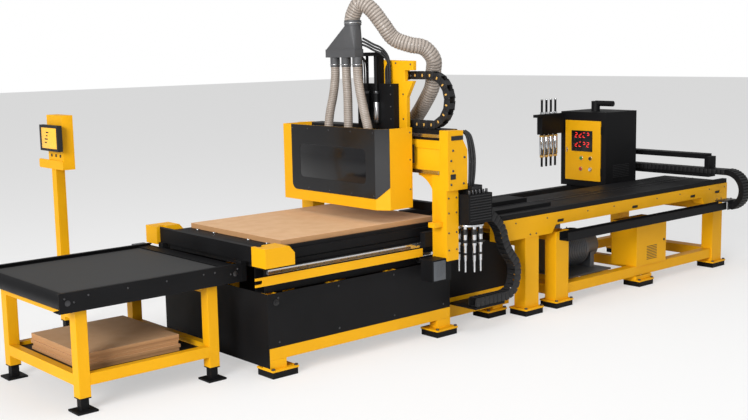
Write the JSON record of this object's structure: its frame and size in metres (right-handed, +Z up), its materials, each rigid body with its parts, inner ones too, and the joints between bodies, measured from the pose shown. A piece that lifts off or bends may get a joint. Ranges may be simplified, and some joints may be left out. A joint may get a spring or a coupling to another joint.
{
  "type": "cnc router",
  "caption": "Nesting CNC router line with a belt unloading table, moving gantry with a hooded multi-spindle head, and a loading table with a travelling control cabinet.",
  "frame": {"origin": "centre of the base box on the floor", "axes": "+X along the line from the unloading table to the loading table, +Y away from the operator's side, +Z up"},
  "size_m": [7.485, 3.0609, 2.7957],
  "materials": {
    "yellow_paint": "satin",
    "black_paint": "satin",
    "dark_steel": "satin",
    "ground_steel": "polished",
    "aluminium": "satin",
    "mdf": "matte",
    "belt_rubber": "matte",
    "motor_grey": "satin",
    "black_plastic": "matte",
    "duct_grey": "matte",
    "hose_film": "satin",
    "red_plastic": "glossy"
  },
  "bodies": {
    "frame": {"base_long_rails": "yellow_paint", "base_inner_frame": "yellow_paint", "base_panels": "black_paint", "foot_plates": "yellow_paint", "floor_feet": "black_paint", "anchor_bolts": "dark_steel", "bed_beams": "black_paint", "x_guideways": "ground_steel", "bed_table": "black_paint", "spoilboard": "mdf", "end_barrier": "black_paint", "side_guards": "yellow_paint", "chain_trays": "black_paint", "table_legs": "yellow_paint", "table_rails": "yellow_paint", "unload_plates": "black_paint", "board_stack": "mdf", "unload_side_rails": "black_paint", "unload_end_covers": "black_paint", "unload_belt": "belt_rubber", "unload_gearmotor": "motor_grey", "pedestal": "yellow_paint", "load_beams": "yellow_paint", "load_deck": "black_paint", "electrical_box": "yellow_paint", "vacuum_pump": "motor_grey", "x_cable_chain": "black_plastic"},
    "gantry": {"gantry_beam": "yellow_paint", "gantry_uprights": "yellow_paint", "beam_cover": "black_paint", "y_rails": "ground_steel", "gantry_drives": "black_paint", "dust_outlet": "duct_grey", "y_cable_chain": "black_plastic"},
    "pinions": {"x_pinions": "dark_steel"},
    "magazine": {"magazine_carousel": "ground_steel"},
    "pusher": {"pusher_bar": "black_paint"},
    "head": {"head_carriage": "black_paint", "head_column": "yellow_paint", "hood_shell": "yellow_paint", "hood_front": "black_paint", "dust_manifold": "duct_grey", "main_hose": "hose_film", "spindle_hoses": "hose_film"},
    "lift": {"z_plate": "aluminium", "spindle_housings": "aluminium"},
    "spindle_a": {"spindle_near": "ground_steel"},
    "spindle_b": {"spindle_middle": "ground_steel"},
    "spindle_c": {"spindle_far": "ground_steel"},
    "drive_roller": {"unload_drive_roller": "ground_steel"},
    "tail_roller": {"unload_tail_roller": "ground_steel"},
    "screen": {"screen_housing": "black_plastic"},
    "cabinet": {"cabinet_shell": "black_paint", "cabinet_arms": "black_paint"},
    "door": {"cabinet_door": "yellow_paint"},
    "drill": {"drill_block": "black_paint"},
    "start_button": {"button_start": "black_plastic"},
    "hold_button": {"button_hold": "black_plastic"},
    "stop_button": {"button_stop": "red_plastic"},
    "reset_button": {"button_reset": "aluminium"}
  },
  "joints": [
    {"name": "gantry_travel", "type": "slide", "parent": "frame", "child": "gantry", "axis": [1, 0, 0], "range_m": [-1.25, 0.05], "deforming": ["x_cable_chain"]},
    {"name": "pinion_turn", "type": "hinge", "parent": "gantry", "child": "pinions", "pos_m": [-0.7125, -0.4045, 0.6656], "axis": [0, 1, 0], "range_deg": [-130, 3000]},
    {"name": "magazine_turn", "type": "hinge", "parent": "gantry", "child": "magazine", "pos_m": [-0.3525, -1.3195, 0.95], "axis": [0, 0, 1], "continuous": true},
    {"name": "pusher_lift", "type": "slide", "parent": "gantry", "child": "pusher", "axis": [0, 0, 1], "range_m": [-0.02, 0.12]},
    {"name": "head_cross", "type": "slide", "parent": "gantry", "child": "head", "axis": [0, 1, 0], "range_m": [-0.4, 0.6], "deforming": ["y_cable_chain", "main_hose"]},
    {"name": "head_lift", "type": "slide", "parent": "head", "child": "lift", "axis": [0, 0, 1], "range_m": [-0.1, 0.02], "deforming": ["spindle_hoses"]},
    {"name": "spindle_near_turn", "type": "hinge", "parent": "lift", "child": "spindle_a", "pos_m": [-0.8525, -0.7845, 1.11], "axis": [0, 0, 1], "continuous": true},
    {"name": "spindle_middle_turn", "type": "hinge", "parent": "lift", "child": "spindle_b", "pos_m": [-0.8525, -0.5295, 1.11], "axis": [0, 0, 1], "continuous": true},
    {"name": "spindle_far_turn", "type": "hinge", "parent": "lift", "child": "spindle_c", "pos_m": [-0.8525, -0.2745, 1.11], "axis": [0, 0, 1], "continuous": true},
    {"name": "drive_roller_turn", "type": "hinge", "parent": "frame", "child": "drive_roller", "pos_m": [-2.3725, -0.2625, 0.774], "axis": [0, 1, 0], "continuous": true},
    {"name": "tail_roller_turn", "type": "hinge", "parent": "frame", "child": "tail_roller", "pos_m": [-3.6825, -0.2625, 0.774], "axis": [0, 1, 0], "continuous": true},
    {"name": "screen_tilt", "type": "hinge", "parent": "frame", "child": "screen", "pos_m": [-2.7085, 1.1955, 1.6825], "axis": [0, 1, 0], "range_deg": [-12, 12]},
    {"name": "cabinet_travel", "type": "slide", "parent": "frame", "child": "cabinet", "axis": [1, 0, 0], "range_m": [-2.3, 0]},
    {"name": "cabinet_door", "type": "hinge", "parent": "cabinet", "child": "door", "pos_m": [2.6842, -0.3408, 1.245], "axis": [0, 0, 1], "range_deg": [0, 90]},
    {"name": "drill_lift", "type": "slide", "parent": "cabinet", "child": "drill", "axis": [0, 0, 1], "range_m": [-0.12, 0]},
    {"name": "start_press", "type": "slide", "parent": "door", "child": "start_button", "axis": [1, 0, 0], "range_m": [0, 0.004], "stiffness_N_per_m": 300},
    {"name": "hold_press", "type": "slide", "parent": "door", "child": "hold_button", "axis": [1, 0, 0], "range_m": [0, 0.004], "stiffness_N_per_m": 300},
    {"name": "stop_press", "type": "slide", "parent": "door", "child": "stop_button", "axis": [1, 0, 0], "range_m": [0, 0.004], "stiffness_N_per_m": 300},
    {"name": "reset_press", "type": "slide", "parent": "door", "child": "reset_button", "axis": [1, 0, 0], "range_m": [0, 0.004], "stiffness_N_per_m": 300}
  ],
  "couplings": [
    {"joint": "pinion_turn", "follows": "gantry_travel", "rad_per_m": -41.667},
    {"joint": "tail_roller_turn", "follows": "drive_roller_turn", "ratio": 1}
  ]
}
